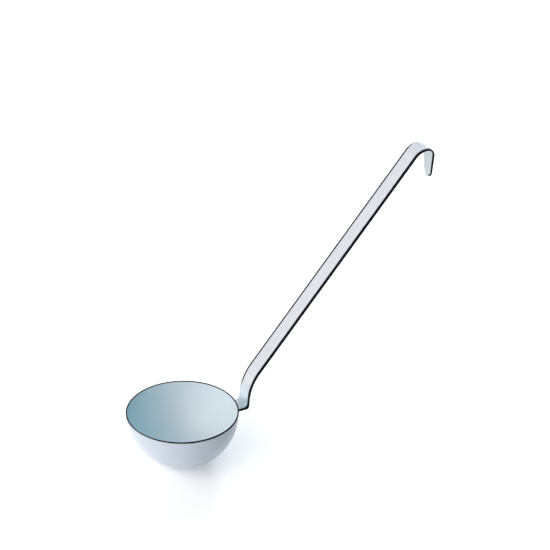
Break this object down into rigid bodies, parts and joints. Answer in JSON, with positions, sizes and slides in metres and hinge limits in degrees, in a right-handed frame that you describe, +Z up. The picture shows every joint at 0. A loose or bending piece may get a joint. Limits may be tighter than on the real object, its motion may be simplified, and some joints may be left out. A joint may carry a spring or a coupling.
{
  "type": "soup ladle",
  "caption": "Enamelled steel soup ladle: a round bowl on a long slanting strip handle that ends in a hanging hook.",
  "frame": {"origin": "middle of the small flat under the bowl", "axes": "+Z up along the bowl's axis, +X from the bowl's axis towards the handle, the part is symmetric about the XZ plane"},
  "size_m": [0.2654, 0.09, 0.2315],
  "materials": {
    "steel": "bare sheet steel, sealed under the enamel",
    "enamelled_steel": "sheet steel under gloss white vitreous enamel with a cool tint",
    "white_enamel": "gloss white vitreous enamel with a cool tint",
    "dark_enamel": "gloss blue-black vitreous enamel"
  },
  "bodies": {
    "root": {"bowl": "enamelled_steel", "bowl_rim_bead": "dark_enamel", "handle_steel": "steel", "handle_front_enamel": "white_enamel", "handle_back_enamel": "white_enamel", "handle_edge_enamel": "dark_enamel", "tab_spot_welds": "steel"}
  },
  "joints": []
}
